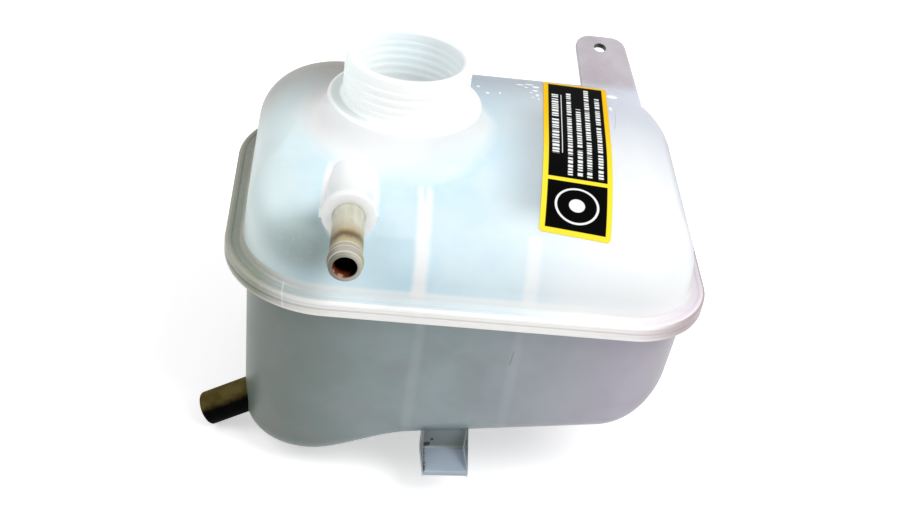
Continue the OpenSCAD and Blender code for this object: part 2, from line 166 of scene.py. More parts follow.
def flange_rings(lip, side):
    """The flange's edge, a straight band between a small quarter round at the weld and a larger
    one outside, a shallow groove in its outer face, then a fillet up to the wall."""
    e, t, f, w = FLANGE_EDGE, FLANGE_THICK, FILLET, WELD_EDGE
    a = quarter(7)
    inset = np.concatenate([w * (1 - np.sin(a)), e * (1 - np.cos(a))])
    height = np.concatenate([w * (1 - np.cos(a)), t - e + e * np.sin(a)])
    groove = np.radians(np.linspace(0, 360, 13))
    inset = np.concatenate([inset, e + 1.3 + groove / (2 * np.pi) * 1.5])
    height = np.concatenate([height, t - 0.3 * (1 - np.cos(groove)) / 2])
    b = quarter(6)
    edge = flat_rings(np.repeat(inset[:, None], 4, 1), side * height)
    root = flat_rings(lip + (-f * (1 - np.sin(b)))[:, None], side * (t + f * (1 - np.cos(b))))
    return np.concatenate([edge, root])


def turned(profile, count=160, swell=None):
    """Surface of revolution: each point of the profile, a radius and a height, on a circle.
    The swell adds to the radius by direction and height."""
    profile = np.array(profile, float)
    angle = np.linspace(0, 2 * np.pi, count, endpoint=False)[None, :]
    radius, height = profile[:, :1], profile[:, 1:]
    radius = radius + (swell(angle, height) if swell else 0 * angle)
    return np.stack([radius * np.cos(angle), radius * np.sin(angle), height + 0 * angle], 2)


def thread_swell(height_of_thread, low, high):
    """Right-handed thread: a rounded ridge at each pitch along a helix, faded at its ends."""
    def swell(angle, height):
        place = (height - THREAD_PITCH * angle / (2 * np.pi)) / THREAD_PITCH
        ridge = smooth((0.5 + 0.5 * np.cos(2 * np.pi * place) - 0.35) / 0.4)
        ends = smooth((height - low) / 2.5) * smooth((high - height) / 2.5)
        return height_of_thread * ridge * ends
    return swell


def slab(edge_points, thick, edge):
    """Plate over a closed outline: its rim follows the outline, with quarter rounds of the edge
    radius that pull in along the outline's own normals."""
    p = np.array(edge_points, float)
    along = np.roll(p, -1, 0) - np.roll(p, 1, 0)
    along /= np.linalg.norm(along, axis=1)[:, None]
    out = np.stack([along[:, 1], -along[:, 0]], 1)
    a = quarter(5)
    pull = np.concatenate([edge * (1 - np.sin(a)), edge * (1 - np.cos(a))])
    height = np.concatenate([edge * (1 - np.cos(a)), thick - edge + edge * np.sin(a)])
    xy = p[None] - pull[:, None, None] * out[None]
    return np.concatenate([xy, np.repeat(height[:, None, None], len(p), 1)], 2)


def rounded_path(corners, radii, steps=10):
    """Closed outline with each corner swapped for an arc that touches both of its edges."""
    points, corners = [], np.array(corners, float)
    for i, radius in enumerate(radii):
        here, before, after = corners[i], corners[i - 1], corners[(i + 1) % len(corners)]
        a = (before - here) / np.linalg.norm(before - here)
        b = (after - here) / np.linalg.norm(after - here)
        half = math.acos(float(np.clip(a @ b, -1, 1))) / 2
        middle = here + (a + b) / np.linalg.norm(a + b) * radius / math.sin(half)
        start, end = here + a * radius / math.tan(half), here + b * radius / math.tan(half)
        t0 = math.atan2(*(start - middle)[::-1])
        t1 = math.atan2(*(end - middle)[::-1])
        t1 = t0 + (t1 - t0 + math.pi) % (2 * math.pi) - math.pi
        t = np.linspace(t0, t1, steps)
        points.append(middle + radius * np.stack([np.cos(t), np.sin(t)], 1))
    return np.concatenate(points)


def put(name, data):
    """A new object in the scene."""
    made = bpy.data.objects.new(name, data)
    bpy.context.scene.collection.objects.link(made)
    return made


def placed(rings, placing, at):
    """The points of the rings, turned and moved."""
    points = rings.reshape(-1, 3)
    if placing is not None:
        points = points @ np.array(placing.to_3x3()).T
    return points + np.array(at)


def quads(name, points, faces):
    """Object with four-sided faces."""
    points = (points + TANK_AT) / 1000
    mesh = bpy.data.meshes.new(name)
    mesh.vertices.add(len(points))
    mesh.vertices.foreach_set("co", points.ravel())
    mesh.loops.add(faces.size)
    mesh.loops.foreach_set("vertex_index", faces.ravel())
    mesh.polygons.add(len(faces))
    mesh.polygons.foreach_set("loop_start", np.arange(len(faces)) * 4)
    mesh.update(calc_edges=True)
    mesh.validate()
    return put(name, mesh)


def piece(name, rings, placing=None, at=(0, 0, 0)):
    """Closed solid between a stack of rings with like numbers of points: quads between the
    rings, and a strip of quads across the first and the last ring."""
    rings = np.array(rings, float)
    rows, count = rings.shape[:2]
    i = np.arange(count)
    k = np.arange(rows - 1)[:, None] * count
    sides = np.stack([k + i, k + (i + 1) % count, k + count + (i + 1) % count, k + count + i], 2)
    j = np.arange(count // 2 - 1)
    cap = np.stack([j, j + 1, count - 2 - j, count - 1 - j], 1)
    faces = np.concatenate([sides.reshape(-1, 4), cap[:, ::-1], cap + (rows - 1) * count])
    points = placed(rings, placing, at)
    volume = np.einsum("ij,ij->i", points[faces[:, 0]] - points.mean(0),
                       np.cross(points[faces[:, 1]] - points[faces[:, 0]],
                                points[faces[:, 3]] - points[faces[:, 0]])).sum()
    if volume < 0:
        faces = faces[:, ::-1]
    return quads(name, points, faces)


def ring_piece(name, rings, placing, at):
    """Closed solid whose last ring joins the first, so nothing is capped."""
    rows, count = rings.shape[:2]
    i, k = np.arange(count), np.arange(rows)[:, None]
    after = (k + 1) % rows
    faces = np.stack([k * count + i, k * count + (i + 1) % count,
                      after * count + (i + 1) % count, after * count + i], 2).reshape(-1, 4)
    return quads(name, placed(rings, placing, at), faces)


def worked(base, operation, *tools):
    """The base joined with, or cut by, the tools, which are used up."""
    for tool in tools:
        change = base.modifiers.new(operation, "BOOLEAN")
        change.operation, change.object, change.solver = operation, tool, "MANIFOLD"
    bpy.context.view_layer.update()
    done = bpy.data.meshes.new_from_object(base.evaluated_get(bpy.context.evaluated_depsgraph_get()))
    base.modifiers.clear()
    base.data = done
    for tool in tools:
        bpy.data.objects.remove(tool)
    return base


def corners_of(mesh):
    """The mesh's points, in millimetres from the middle of the flange."""
    co = np.zeros(len(mesh.vertices) * 3)
    mesh.vertices.foreach_get("co", co)
    return co.reshape(-1, 3) * 1000 - TANK_AT


def rim_map(mesh):
    """Writes each point's distance in from the flange's outline as the attribute rim: the least
    distance to the outline's points, and 50 away from the flange. The attribute side is the
    normal's x, so it is 1 where the surface faces right and -1 where it faces left."""
    co = corners_of(mesh)
    x, y, _ = outlines(np.zeros((1, 4)), 90, 200)
    sides = [np.linspace((x[0, i - 1], y[0, i - 1]), (x[0, i], y[0, i]), 120) for i in (0, 380)]
    line = np.concatenate([np.stack([x[0], y[0]], 1), *sides])
    near = np.where(abs(co[:, 2]) < 26)[0]
    rim = np.full(len(co), 50.0)
    for part in np.array_split(near, max(1, len(near) // 2000)):
        rim[part] = np.sqrt(((co[part, None, :2] - line[None]) ** 2).sum(2).min(1))
    mesh.attributes.new("rim", "FLOAT", "POINT").data.foreach_set("value", rim)
    facing = np.zeros(len(co) * 3)
    mesh.vertices.foreach_get("normal", facing)
    mesh.attributes.new("side", "FLOAT", "POINT").data.foreach_set("value", facing[::3].copy())


def finished(made, node, slot, material, crease=32):
    """Smooth shading, except across edges sharper than the crease, and the frame's facts."""
    mesh = made.data
    mesh.materials.clear()
    mesh.materials.append(material)
    mesh.shade_smooth()
    mesh.set_sharp_from_angle(angle=math.radians(crease))
    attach(made, "root")
    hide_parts(node)


def block(name, low, high):
    """Box between two corners."""
    ring = [(low[0], low[1]), (high[0], low[1]), (high[0], high[1]), (low[0], high[1])]
    return piece(name, [[(x, y, z) for x, y in ring] for z in (low[2], high[2])])


def rod(name, radius, start, end, placing, at):
    """Cylinder along the placing's own z axis."""
    return piece(name, turned([[radius, start], [radius, end]]), placing, at)


TO_FRONT = Matrix.Rotation(math.radians(90), 4, "X")
TO_OUTLET = Matrix.Rotation(math.radians(-90 - OUTLET_ANGLE), 4, "Y")
TO_EAR = Matrix.Rotation(math.radians(EAR_ANGLE), 4, "X")
ACROSS = Matrix.Rotation(math.radians(90), 4, "Y")


def rib(x, hole_height):
    """Rib across the tank, with its round flow hole."""
    half = RIB_THICK / 2
    plate = block("rib", (x - half, -100, -120), (x + half, 100, 70))
    return worked(plate, "DIFFERENCE", rod("hole", FLOW_HOLE, -5, 5, ACROSS, (x, 0, hole_height)))


def top_at(x, y):
    """Height of the top, where its front and left sides round down as quarter ellipses."""
    in_front = 1 - np.minimum(1, (y + FLANGE_DEPTH / 2 - UPPER_LIP[0] - DRAFT) / SHOULDER_RUN[0])
    in_left = 1 - np.minimum(1, (x + FLANGE_LENGTH / 2 - UPPER_LIP[3] - DRAFT) / SHOULDER_RUN[3])
    return (TOP - SHOULDER_DROP[0] * (1 - np.sqrt(1 - in_front ** 2))
            - SHOULDER_DROP[3] * (1 - np.sqrt(1 - in_left ** 2)))


def plinth():
    """Round plinth under the neck: its foot lies on the top and its side rises from there by one
    less the cosine, while it nears its upper radius by one less the sine."""
    top, edge = TOP + PLINTH_HEIGHT, 1.0
    a, b = quarter(26), quarter(6)[1:]
    side, rounded = PLINTH + PLINTH_FLARE * (1 - np.sin(a)), PLINTH - edge * (1 - np.cos(b))
    radius = np.concatenate([side, rounded])[:, None]
    share = np.concatenate([1 - np.cos(a), np.ones(5)])[:, None]
    height = np.concatenate([np.full(26, top - edge), top - edge + edge * np.sin(b)])[:, None]
    turn = np.radians(180 + 360 * (np.arange(200) + 0.5) / 200)[None]
    x, y = NECK_AT[0] + radius * np.cos(turn), NECK_AT[1] + radius * np.sin(turn)
    ground = top_at(x, y) - 0.08
    rings = np.stack([x, y, ground + share * (height - ground)], 2)
    return piece("plinth", np.concatenate([rings[:1] - [0, 0, 2.5], rings]))


def neck():
    """The neck with its outer thread, and the bore through it with its own fainter thread."""
    edge, top, rim = 1.0, TOP + PLINTH_HEIGHT, TOP + NECK_HEIGHT
    a, b = quarter(20)[2::3], quarter(6)
    profile = [[NECK_OUT + 2.6, top - 1]]
    profile += curve(NECK_OUT + 2 - 2 * np.sin(a), top + 2 - 2 * np.cos(a))
    profile += [[NECK_OUT, z] for z in np.arange(top + 2.2, rim - 1.3, 0.2)]
    profile += curve(NECK_OUT - edge * (1 - np.cos(b)), rim - edge + edge * np.sin(b))
    bore_profile = [[NECK_BORE, z] for z in np.arange(TOP - 22, rim - 0.9, 0.25)]
    bore_profile += [[NECK_BORE + 0.3, rim - 0.5], [NECK_BORE + 1, rim], [NECK_BORE + 1, rim + 2]]
    outer = turned(profile, 240, thread_swell(THREAD_HEIGHT, top + 1.5, rim - 3))
    inner = turned(bore_profile, 240, thread_swell(BORE_THREAD_HEIGHT, top - 8, rim - 3))
    return piece("neck", outer, at=(*NECK_AT, 0)), piece("bore", inner, at=(*NECK_AT, 0))


def boss():
    """The vent tube's boss: a collar at the front, a step behind it and a domed inner end."""
    c, a = VENT_COLLAR, quarter(20)[:-1]
    profile = [[VENT_TUBE + 0.2, 0], [c - 0.8, 0], [c - 0.2, -0.25], [c, -0.8], [c, -3.6],
               [VENT_BOSS + 0.5, -4.3], [VENT_BOSS, -5.4]]
    profile += curve(VENT_BOSS * np.cos(a), -BOSS_REACH + 0.7 * VENT_BOSS * (1 - np.sin(a)))
    return piece("boss", turned(profile, 120), TO_FRONT, VENT_AT)


def lug(side):
    """Small moulded block at one side of the boss's collar."""
    x, y, z = VENT_AT[0] + side * (VENT_COLLAR - 1), VENT_AT[1], VENT_AT[2]
    return block("lug", (x - 2, y + 0.5, z - 1.5), (x + 2, y + 4, z + 1.5))


def ear():
    """Tilted mounting tongue, rounded at its outer corners."""
    half, tip = EAR_WIDTH / 2, EAR_REACH + 8.8
    corners = [(-half + 2, -13), (half + 6, -13), (half, tip), (-half, tip)]
    return piece("ear", slab(rounded_path(corners, (1, 1, 8, 8), 12), 3, 0.7), TO_EAR, EAR_AT)


def on_ear(height):
    """Point over the ear's hole: its reach along the tilted plate, and a height above its foot."""
    return tuple(np.array(EAR_AT) + np.array(TO_EAR @ Vector((0, EAR_REACH, height))))


def hollow(lip, side, rings):
    """The room inside one half, which goes 1 mm past the weld."""
    opening = flat_rings(np.array([lip + WALL] * 2), [-side, side * FLANGE_THICK])
    return piece("cavity", np.concatenate([opening, rings]))


def upper_shell():
    """Hollow upper half with the neck, the boss, the ear and its halves of the inner ribs."""
    skin = piece("upper_moulding", np.concatenate([flange_rings(UPPER_LIP, 1), top_rings(0)]))
    outer_neck, bore = neck()
    cavity = hollow(UPPER_LIP, 1, top_rings(WALL))
    ribs = [rib(x, TOP - WALL - 3 - FLOW_HOLE) for x in RIBS]
    sleeve = rod("sleeve", VENT_BOSS, -VENT_SEAT - 3, 0, TO_FRONT, VENT_AT)
    worked(cavity, "DIFFERENCE", *ribs, sleeve)
    worked(skin, "UNION", plinth(), outer_neck, boss(), ear(), lug(-1), lug(1))
    return worked(skin, "DIFFERENCE", cavity, bore,
                  rod("seat", VENT_TUBE + 0.1, -VENT_SEAT, 1, TO_FRONT, VENT_AT),
                  rod("way", VENT_BORE, -VENT_SEAT - 16, 0, TO_FRONT, VENT_AT),
                  rod("eye", EAR_HOLE, -1, 5, TO_EAR, on_ear(0)))


def foot():
    """Upright strip with a toe bent to the front, its side view carried across its width."""
    under, top, thick = floor_at(FOOT_AT[0]) - 10, floor_at(FOOT_AT[0]) + 11, FOOT_THICK
    corners = [(FOOT_TOE, under), (FOOT_TOE, under + thick), (thick, under + thick), (thick, top),
               (0, top), (0, under)]
    side = rounded_path(corners, (1.0, 1.0, 1.5, 0.5, 0.5, 4.5), 8)
    upright = Matrix.Rotation(math.radians(90), 4, "X")
    placing = Matrix.Rotation(math.radians(FOOT_TURN), 4, "Z") @ upright
    across = placing @ Vector((0, 0, FOOT_WIDTH / 2))
    at = np.array([FOOT_AT[0], FOOT_AT[1] + thick, 0]) - np.array(across)
    return piece("foot", slab(side[::-1], FOOT_WIDTH, 0.7), placing, at)


def lower_shell():
    """Hollow lower half with the foot, the outlet's socket and its halves of the inner ribs."""
    skin = piece("lower_moulding", np.concatenate([flange_rings(LOWER_LIP, -1), floor_rings(0)]))
    cavity = hollow(LOWER_LIP, -1, floor_rings(WALL))
    ribs = [rib(x, floor_at(x) + WALL + 3 + FLOW_HOLE) for x in RIBS]
    sleeve = rod("sleeve", 10.4, -OUTLET_SEAT - 3, WALL, TO_OUTLET, OUTLET_AT)
    worked(cavity, "DIFFERENCE", *ribs, sleeve)
    worked(skin, "UNION", foot())
    return worked(skin, "DIFFERENCE", cavity,
                  rod("seat", OUTLET_TUBE + 0.1, -OUTLET_SEAT, 16, TO_OUTLET, OUTLET_AT),
                  rod("way", OUTLET_BORE, -OUTLET_SEAT - 16, 0, TO_OUTLET, OUTLET_AT))


def hose_tube(name, radius, bore, seat, length, bead, placing, at):
    """Tube turned from one closed profile: outside with a rounded bead, rolled tip, bore."""
    outside = [[radius, -seat], [radius, length - (6.8 if bead else 8.2)]]
    if bead:
        t = np.linspace(0, 1, 13)[1:-1]
        outside += curve(radius + bead * np.sin(np.pi * t) ** 0.5, length - 6.4 + 4 * t)
        outside += [[radius, length - 2.2]]
    wall = (radius - bore) / 2
    a = np.radians(np.linspace(0, 180, 9))
    tip = curve(radius - wall + wall * np.cos(a), length - wall + wall * np.sin(a))
    profile = outside + tip + [[bore, length - 3], [bore, -seat]]
    return ring_piece(name, turned(profile, 128), placing, at)


def centre_height(y):
    """Height of the skin on the sticker's middle line: front slope, flat top, back shoulder."""
    front = -FLANGE_DEPTH / 2 + UPPER_LIP[0] + DRAFT
    back = FLANGE_DEPTH / 2 - UPPER_LIP[2] - DRAFT
    into = np.clip(1 - (y - front) / SHOULDER_RUN[0], 0, 1)
    over = np.clip(1 - (back - y) / SHOULDER_RUN[2], 0, 1)
    return (TOP - SHOULDER_DROP[0] * (1 - np.sqrt(1 - into ** 2))
            - SHOULDER_DROP[2] * (1 - np.sqrt(1 - over ** 2)))


def sticker():
    """The layer between the skin and the same skin a film further out, inside a turned oblong,
    and its length along the arc of its middle line. Its map has millimetres across, and along
    that arc from the back end."""
    edge = flat_rings(np.array([UPPER_LIP] * 2), [-1, 6])
    skin = piece("skin", np.concatenate([edge, top_rings(0)]))
    layer = piece("label", np.concatenate([edge, top_rings(-FILM)]))
    width, length = STICKER_SIZE
    turn = Matrix.Rotation(math.radians(-STICKER_TURN), 4, "Z")
    oblong = rounded_path([(-width / 2, -length / 2), (width / 2, -length / 2),
                           (width / 2, length / 2), (-width / 2, length / 2)], (STICKER_CORNER,) * 4, 8)
    column = piece("column", [[(x, y, z) for x, y in oblong] for z in (2, 70)], turn, (*STICKER_AT, 0))
    worked(layer, "INTERSECT", column)
    worked(layer, "DIFFERENCE", skin)
    mesh = layer.data
    local = corners_of(mesh)[:, :2] - np.array(STICKER_AT)
    c, s = math.cos(math.radians(STICKER_TURN)), math.sin(math.radians(STICKER_TURN))
    across, along = local[:, 0] * c - local[:, 1] * s, local[:, 0] * s + local[:, 1] * c
    steps = np.linspace(length / 2, -length / 2, 600)
    stretches = np.hypot(np.diff(steps), np.diff(centre_height(STICKER_AT[1] + steps)))
    arc = np.concatenate([[0], np.cumsum(stretches)])
    down = np.interp(-along, -steps, arc)
    index = np.zeros(len(mesh.loops), int)
    mesh.loops.foreach_get("vertex_index", index)
    while mesh.uv_layers:
        mesh.uv_layers.remove(mesh.uv_layers[0])
    uv = np.stack([across + width / 2, down], 1)[index] / 100
    mesh.uv_layers.new(name="label").data.foreach_set("uv", uv.ravel())
    return layer, float(arc[-1])


class Field:
    """A socket's value in shader maths: each operation adds its Math node."""

    def __init__(self, tree, socket):
        self.tree, self.socket = tree, socket

    def maths(self, operation, *others):
        values = [x.socket if isinstance(x, Field) else x for x in (self, *others)]
        return self.tree.add("Math", {"operation": operation}, dict(enumerate(values)))

    def __add__(self, other):
        return self.maths("ADD", other)

    __radd__ = __add__

    def __mul__(self, other):
        return self.maths("MULTIPLY", other)

    __rmul__ = __mul__

    def __sub__(self, other):
        return self.maths("SUBTRACT", other)

    def __rsub__(self, other):
        return (self * -1) + other

    def __truediv__(self, other):
        return self.maths("DIVIDE", other)

    def __abs__(self):
        return self.maths("ABSOLUTE")

    def most(self, other):
        return self.maths("MAXIMUM", other)

    def least(self, other):
        return self.maths("MINIMUM", other)

    def rise(self, low, high):
        """Smooth step from 0 at the low value to 1 at the high one."""
        return self.tree.add("MapRange", {"interpolation_type": "SMOOTHSTEP"},
                             {"Value": self, "From Min": low, "From Max": high})

    def band(self, low, high, soft):
        """1 between the two values, with soft edges."""
        return self.rise(low - soft, low + soft) * (1 - self.rise(high - soft, high + soft))


class Finish:
    """A material's nodes, with lengths in millimetres from the frame's origin."""

    def __init__(self, name, **constants):
        self.material = bpy.data.materials.new(name)
        self.material.use_nodes = True
        self.nodes, self.links = self.material.node_tree.nodes, self.material.node_tree.links
        self.shader = self.nodes["Principled BSDF"]
        for socket, value in constants.items():
            self.shader.inputs[socket.replace("_", " ")].default_value = value
        self.place = self.add("VectorMath", {"operation": "SCALE"},
                              {0: self.add("TexCoord", out="Object"), "Scale": 1000.0})
        parts = self.node("SeparateXYZ", {}, {0: self.place})
        self.x, self.y, self.z = (Field(self, parts.outputs[i]) for i in range(3))

    def node(self, kind, settings, values):
        """A new node with its settings, and a value or a link for each of its named sockets."""
        made = self.nodes.new("ShaderNode" + kind)
        for key, value in settings.items():
            setattr(made, key, value)
        for key, value in values.items():
            if isinstance(value, Field):
                value = value.socket
            if isinstance(value, bpy.types.NodeSocket):
                self.links.new(value, made.inputs[key])
            else:
                made.inputs[key].default_value = value
        return made

    def add(self, kind, settings=None, values=None, out=0):
        """One output of a new node."""
        return Field(self, self.node(kind, settings or {}, values or {}).outputs[out])

    def scaled(self, scale, shift):
        """The place times a scale along each axis, plus a shift."""
        return self.add("VectorMath", {"operation": "MULTIPLY_ADD"}, {0: self.place, 1: scale, 2: shift})

    def noise(self, size, detail=2.0, rough=0.5, stretch=(1, 1, 1), seed=0.0):
        """Soft noise from 0 to 1, with features about that many millimetres apart."""
        scale = tuple(s / size for s in stretch)
        spread = self.scaled(scale, (seed, seed * 0.7, seed * 1.3))
        return self.add("TexNoise", {}, {"Vector": spread, "Scale": 1.0, "Detail": detail,
                                         "Roughness": rough})

    def away(self, middle, radii):
        """Distance from a middle point, as a share of the radii along the three axes."""
        spread = self.scaled(tuple(1 / r for r in radii), tuple(-m / r for m, r in zip(middle, radii)))
        return self.add("VectorMath", {"operation": "LENGTH"}, {0: spread}, out=1)

    def attribute(self, name):
        """The value that the mesh holds under the name."""
        return self.add("Attribute", {"attribute_name": name}, out=2)

    def colour(self, value):
        """A field as it is, and a plain colour with its alpha."""
        return value if isinstance(value, Field) else (*value, 1)

    def mix(self, share, first, second):
        """The first colour at a share of 0, and the second at 1."""
        made = self.node("Mix", {"data_type": "RGBA", "clamp_factor": True},
                         {0: share, 6: self.colour(first), 7: self.colour(second)})
        return Field(self, made.outputs[2])

    def bump(self, height, depth):
        """Normals of a height in millimetres."""
        values = {"Height": height, "Distance": 0.001 * depth, "Strength": 1.0}
        self.give("Normal", self.add("Bump", {}, values))

    def give(self, socket, value):
        """Sends a value to the surface's own socket."""
        self.links.new(value.socket, self.shader.inputs[socket])


def rib_bands(f, places, width):
    """Bands over the inner ribs, slightly wavy, at distances right of the flange's middle."""
    bands = None
    for x in places:
        off = abs(f.x - (x + TANK_AT[0]) - (f.noise(9, 1, seed=x) - 0.5) * 1.2)
        band = 1 - off.rise(width - 1.5, width + 1.4)
        bands = band if bands is None else bands.most(band)
    return bands


def from_neck(f):
    """Distance from the filler neck's axis."""
    return f.away((0, 0, 0), (1, 1, ANY))


def from_vent(f):
    """Distance from the vent tube's axis."""
    return f.away(VENT_AXIS, (1, ANY, 1))


def over_floor(f):
    """Height over the sloping floor, as if it had no sump."""
    return f.z - TANK_AT[2] + FLOOR - FLOOR_SLOPE * (f.x - TANK_AT[0])


def slope_tone(f, cloud, left):
    """Bluish white over the slope, whiter at the right from painted light and greener at the left
    end, with painted shade beside and under the vent tube, pale bands over the ribs, white on the
    boss, and a painted glare, white, round the plinth."""
    tone = f.mix(cloud.rise(0.3, 0.7), (0.57, 0.78, 0.89), (0.68, 0.84, 0.92))
    # Painted light whitens the slope towards the right.
    tone = f.mix(f.x.rise(15, 105), tone, (0.92, 0.95, 0.97))
    tone = f.mix(left * 0.9, tone, (0.72, 0.83, 0.80))
    # Painted shade beside the vent tube, low on the slope.
    painted_shade_by_vent = (1 - f.away((-38, 0, -58), (21, ANY, 15)).rise(0.15, 1.25)) * (1 - f.y.rise(-60, -46))
    tone = f.mix(painted_shade_by_vent * (0.75 + 0.2 * cloud), tone, (0.27, 0.34, 0.32))
    # Painted shade just under the vent tube's level, right of it.
    painted_shade_under_vent = f.x.band(-9, 8, 3) * (1 - f.z.rise(-52.8, -51.2)) * f.z.rise(-58, -52)
    tone = f.mix(painted_shade_under_vent * 0.3, tone, (0.46, 0.60, 0.66))
    fork = f.y.rise(-52, -44) * (1 - abs(f.x - 10.8).rise(0.3, 1.2))
    band = rib_bands(f, (-22.3, 24.3), 2.9) * (1 - 0.8 * fork) * (1 - 0.3 * f.x.rise(20, 40))
    starts = (1 - f.y.rise(-43, -40)) * (1 - f.x.rise(20, 40) * f.y.rise(-60.5, -57))
    starts = starts.most(f.y.rise(58, 70) * 0.5)
    tone = f.mix(band * starts * 0.85, tone, WHITE)
    boss_share = (1 - from_vent(f).rise(10.8, 13)) * (1 - f.y.rise(-38, -28))
    tone = f.mix(boss_share * 0.9, tone, (0.98, 0.98, 0.965))
    # Painted glare, white, round the plinth and the neck.
    painted_glare_round_plinth = 1 - f.away((-3, 4, 0), (1, 1, ANY)).rise(36, 48)
    return f.mix(painted_glare_round_plinth * 0.97, tone, WHITE)


def far_side_tone(f, tone, left):
    """Painted shade: dark on the back under the level of the plinth, along the sticker's left edge,
    lilac on the back right shoulder, and on the walls where they turn down at both ends."""
    side = f.attribute("side")
    # Painted shade on the back, under the level of the plinth.
    under_neck = (1 - f.z.rise(-32.5, -27)) * (1 - 0.6 * f.y.rise(62, 73))
    left_back = f.y.rise(-10, 60) * (1 - f.x.rise(-30, 25))
    tone = f.mix(left_back * under_neck * 0.9, tone, (0.22, 0.17, 0.13))
    right_back = f.y.rise(10, 60) * f.x.rise(-30, 25)
    tone = f.mix(right_back * under_neck * 0.9, tone, (0.32, 0.36, 0.42))
    beside = 63.7 + 0.087 * f.y - f.x
    shade = (1 - beside.rise(0, 27)) * (1 - f.x.rise(75, 85)) * f.y.rise(-58, -42) * (1 - f.y.rise(15, 45))
    tone = f.mix(shade * 0.75, tone, (0.36, 0.42, 0.45))
    # Painted shade, lilac, on the back right shoulder.
    tone = f.mix(f.y.rise(-35, 45) * f.x.rise(86, 100), tone, (0.60, 0.63, 0.72))
    # Painted shade on the walls that face right at the right end and left at the left end.
    right_end = side.rise(0.64, 0.95) * f.x.rise(95, 120) * f.y.rise(-68, -30)
    tone = f.mix(right_end, tone, (0.27, 0.29, 0.35))
    return f.mix((side * -1).rise(0.88, 0.995) * left * 0.5, tone, (0.46, 0.54, 0.50))


def ear_tone(f, tone, cloud):
    """Dull pink ear with its eye painted dark as shade."""
    share = f.y.rise(67, 75) * f.z.rise(-51, -46.5) * f.x.band(80, 125, 4)
    tone = f.mix(share, tone, f.mix(cloud.rise(0.3, 0.7), (0.44, 0.40, 0.43), (0.54, 0.51, 0.55)))
    # The eye's wall is painted dark as shade.
    eye = tuple(np.array(on_ear(1.5)) + TANK_AT)
    reach = EAR_HOLE + 0.25
    return f.mix(1 - f.away(eye, (reach, reach, reach)).rise(0.97, 1.03), tone, (0.03, 0.03, 0.03))


def sparkles(f, tone):
    """Small white glints on both sides of the sticker, each a place and two radii, and a patch of
    faint dots to the right of it."""
    for x, y, wide, deep in ((36.0, 42.6, 0.9, 0.9), (40.2, 36.8, 1.1, 1.1), (46.2, 38.0, 0.5, 1.2),
                             (101.3, 45.5, 3.0, 2.0), (98.8, 33.0, 0.9, 1.8), (56.6, 48.6, 2.2, 0.6),
                             (61.2, 49.8, 2.4, 0.7), (59.4, 46.6, 1.1, 0.5), (64.2, 47.6, 1.9, 1.0),
                             (63.6, 43.8, 1.5, 0.9), (61.4, 41.6, 0.7, 0.8), (64.3, 39.4, 0.9, 1.3),
                             (61.9, 36.8, 0.5, 0.8), (64.6, 35.6, 0.5, 0.9)):
        tone = f.mix(1 - f.away((x, y, 0), (wide, deep, ANY)).rise(0.7, 1.1), tone, (0.99, 0.99, 0.99))
    grid = ((f.x * 2.9).maths("SINE") * (f.y * 2.3).maths("SINE")).rise(0.1, 0.7)
    dots = grid * f.noise(7, 1, seed=2.0).rise(0.3, 0.6)
    return f.mix(dots * f.x.band(93, 105, 1) * f.y.band(-30, -13, 1) * 0.12, tone, (0.40, 0.44, 0.48))


def neck_tone(f, tone):
    """Painted shade on the ledge at the neck's foot at its left, painted light that makes the inside
    pale, and painted shade, blue green, in the grooves between the bore's threads.
    """
    radius = from_neck(f)
    # Painted shade on the ledge at the neck's foot, on its left.
    ledge = radius.band(28.5, 32.4, 0.7) * f.z.rise(-24, -21.5) * (1 - f.x.rise(-24, -2))
    tone = f.mix(ledge * 0.6, tone, (0.50, 0.60, 0.57))
    turn = f.y.maths("ARCTAN2", f.x) / (2 * math.pi)
    place = ((f.z - THREAD_PITCH * turn) / THREAD_PITCH).maths("FRACT")
    dark = abs(place - 0.5).rise(0.15, 0.5)
    inside = 1 - radius.rise(24.2, 24.6)
    # Painted light makes the inside pale, deep under the neck.
    tone = f.mix(inside * (1 - f.z.rise(-70, -40)), tone, (0.86, 0.92, 0.91))
    # Painted shade, blue green, in the grooves of the bore's thread.
    return f.mix(inside * dark * f.z.band(-26, -3, 1.0) * 0.25, tone, (0.70, 0.86, 0.86))


def upper_tone(f, cloud):
    """The upper half: its slope, its far sides, the ear, the glints and the neck."""
    left = 1 - f.x.rise(-78, -12)
    tone = far_side_tone(f, slope_tone(f, cloud, left), left)
    return neck_tone(f, sparkles(f, ear_tone(f, tone, cloud)))


